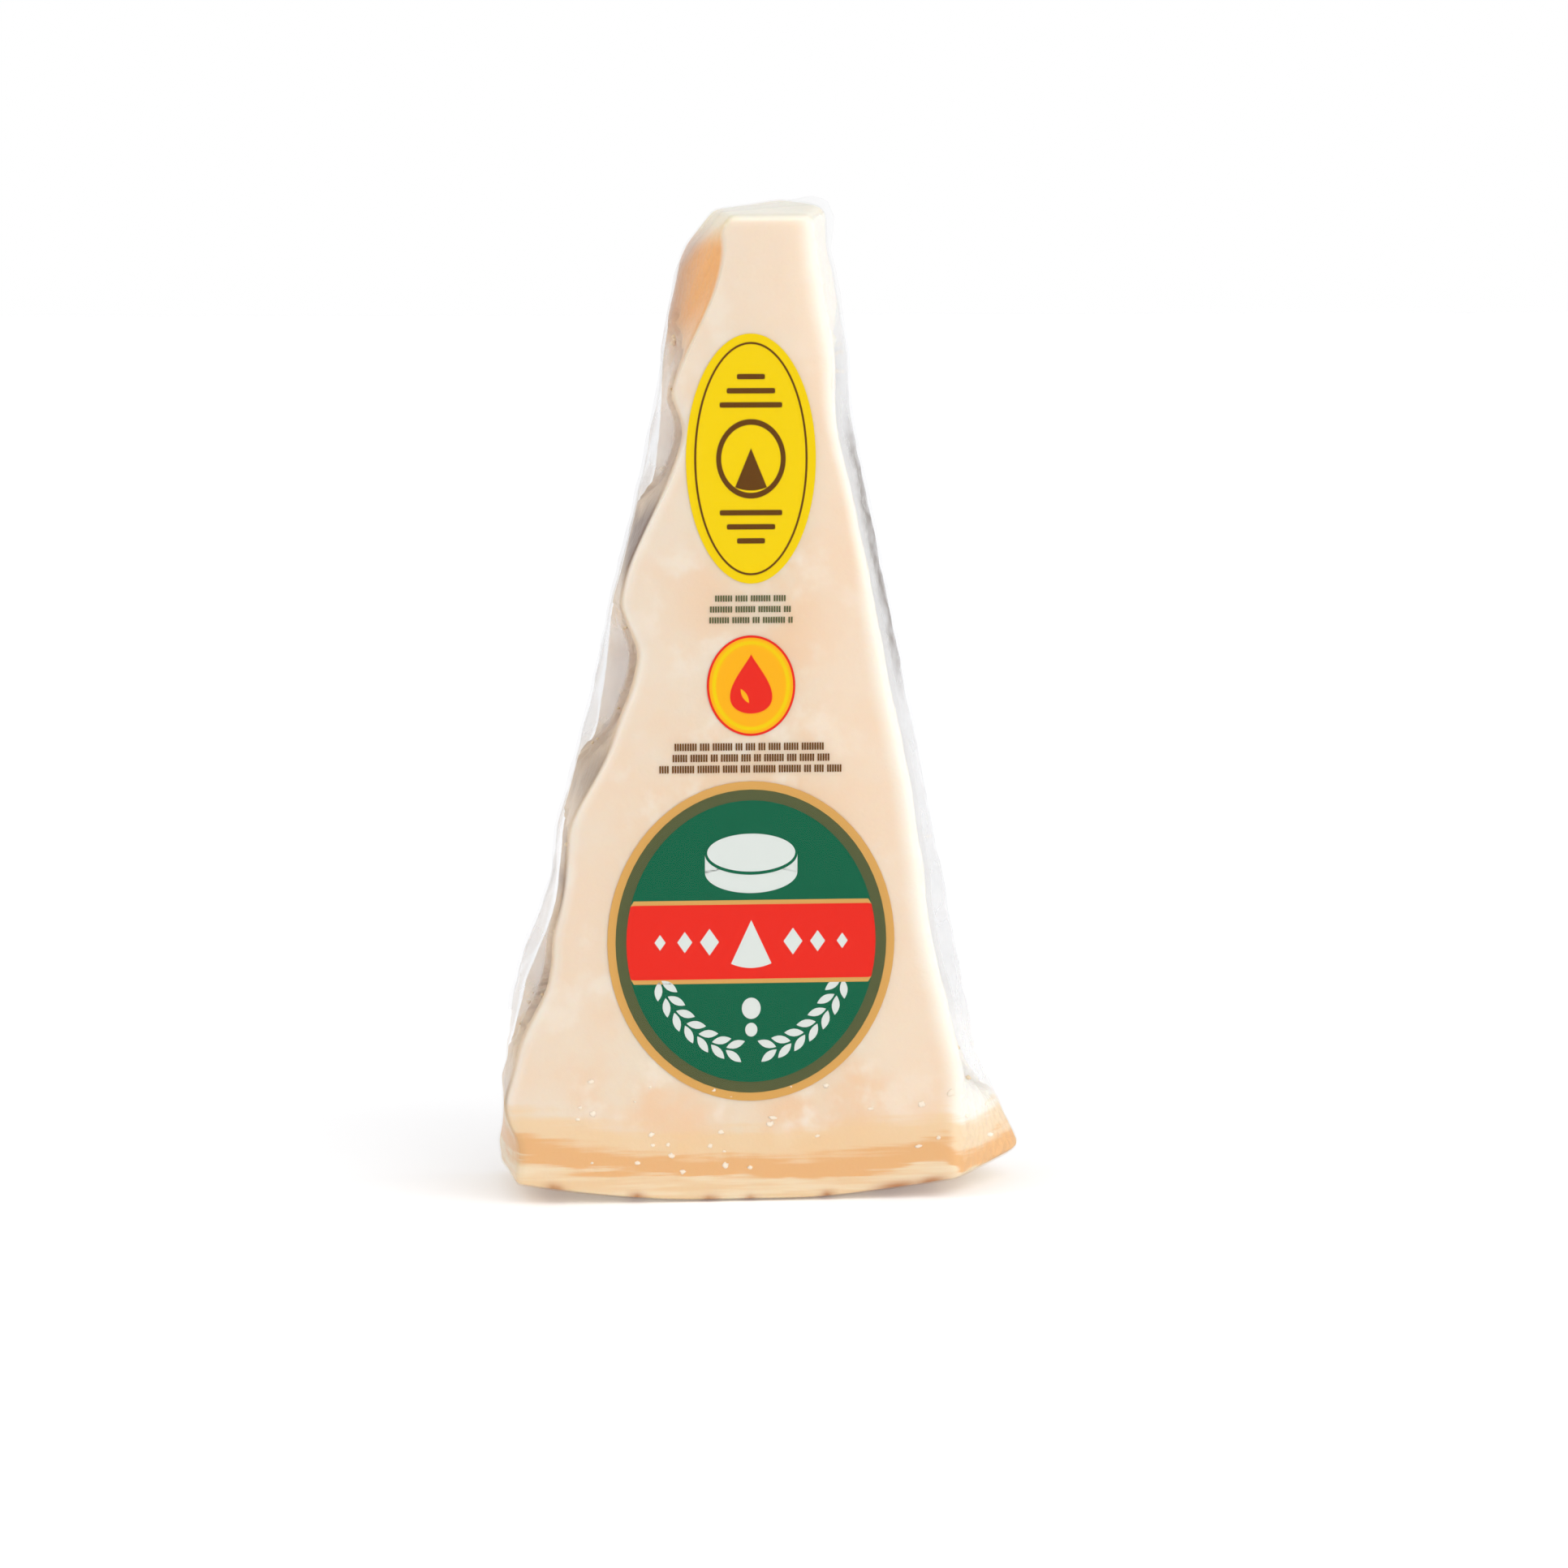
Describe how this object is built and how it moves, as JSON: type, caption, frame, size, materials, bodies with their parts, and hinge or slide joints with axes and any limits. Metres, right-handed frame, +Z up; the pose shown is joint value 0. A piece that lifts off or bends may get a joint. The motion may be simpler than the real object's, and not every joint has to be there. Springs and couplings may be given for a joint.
{
  "type": "film-wrapped grana padano wedge",
  "caption": "Wedge of grana padano sealed in clear shrink film with printed labels, standing on its rind.",
  "frame": {"origin": "centre of the base of the bounding box, on the surface that the wedge stands on", "axes": "+Z up, from the rind to the tip; the printed sawn face looks along -Y; +X to its right"},
  "size_m": [0.0844, 0.034, 0.1577],
  "materials": {
    "film_on_cheese": "clear shrink film drawn tight over pale straw-yellow hard cheese",
    "cheese": "pale straw-yellow granular paste, waxy where it was sawn and crumbly where it was split",
    "clear_film": "clear glossy shrink film",
    "print_yellow": "yellow film ink",
    "print_orange": "orange-yellow film ink",
    "print_red": "red film ink",
    "print_brown": "brown film ink",
    "print_olive": "olive film ink",
    "print_gold": "golden-ochre film ink",
    "print_green": "green film ink",
    "print_white": "white film ink"
  },
  "bodies": {
    "root": {"wrapped_wedge": "film_on_cheese"}
  },
  "joints": []
}
